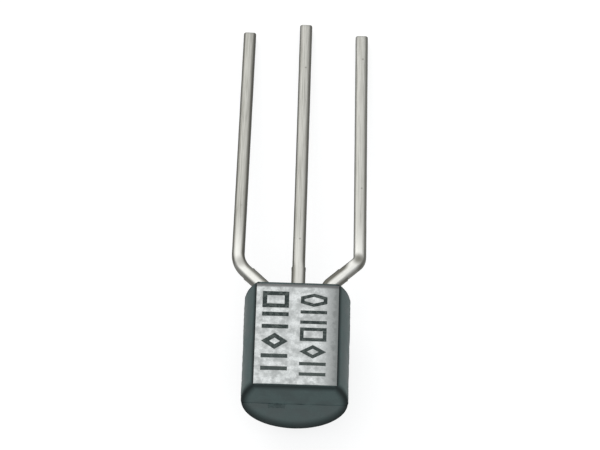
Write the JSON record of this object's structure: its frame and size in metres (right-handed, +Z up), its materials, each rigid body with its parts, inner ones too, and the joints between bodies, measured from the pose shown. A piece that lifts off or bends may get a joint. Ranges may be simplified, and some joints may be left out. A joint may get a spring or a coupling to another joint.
{
  "type": "to-92 transistor",
  "caption": "Small leaded transistor: a moulded body with a flat face and a round back, and leads spread to a wider pitch, lying on its round back.",
  "frame": {"origin": "centre of the bounding box's bottom face, on the surface that the part lies on", "axes": "+Y from the body towards the lead tips, level with the surface; +Z up, out of the surface and nearly out of the flat; +X across the row of leads, towards the collector lead"},
  "size_m": [0.0058, 0.0196, 0.0043],
  "materials": {
    "moulding_compound": "fine spark-eroded matt on the round sides, smoother with a grey sheen on the flat",
    "tinned_lead": "matt tin plating, a little warm, with fine lengthwise drawing marks",
    "silicon": "polished",
    "die_bond": "silver-filled, matt",
    "gold_wire": "bright drawn wire"
  },
  "bodies": {
    "root": {"moulded_body": "moulding_compound", "collector_lead": "tinned_lead", "base_lead": "tinned_lead", "emitter_lead": "tinned_lead", "silicon_die": "silicon", "die_attach": "die_bond", "base_bond_wire": "gold_wire", "emitter_bond_wire": "gold_wire"}
  },
  "joints": []
}
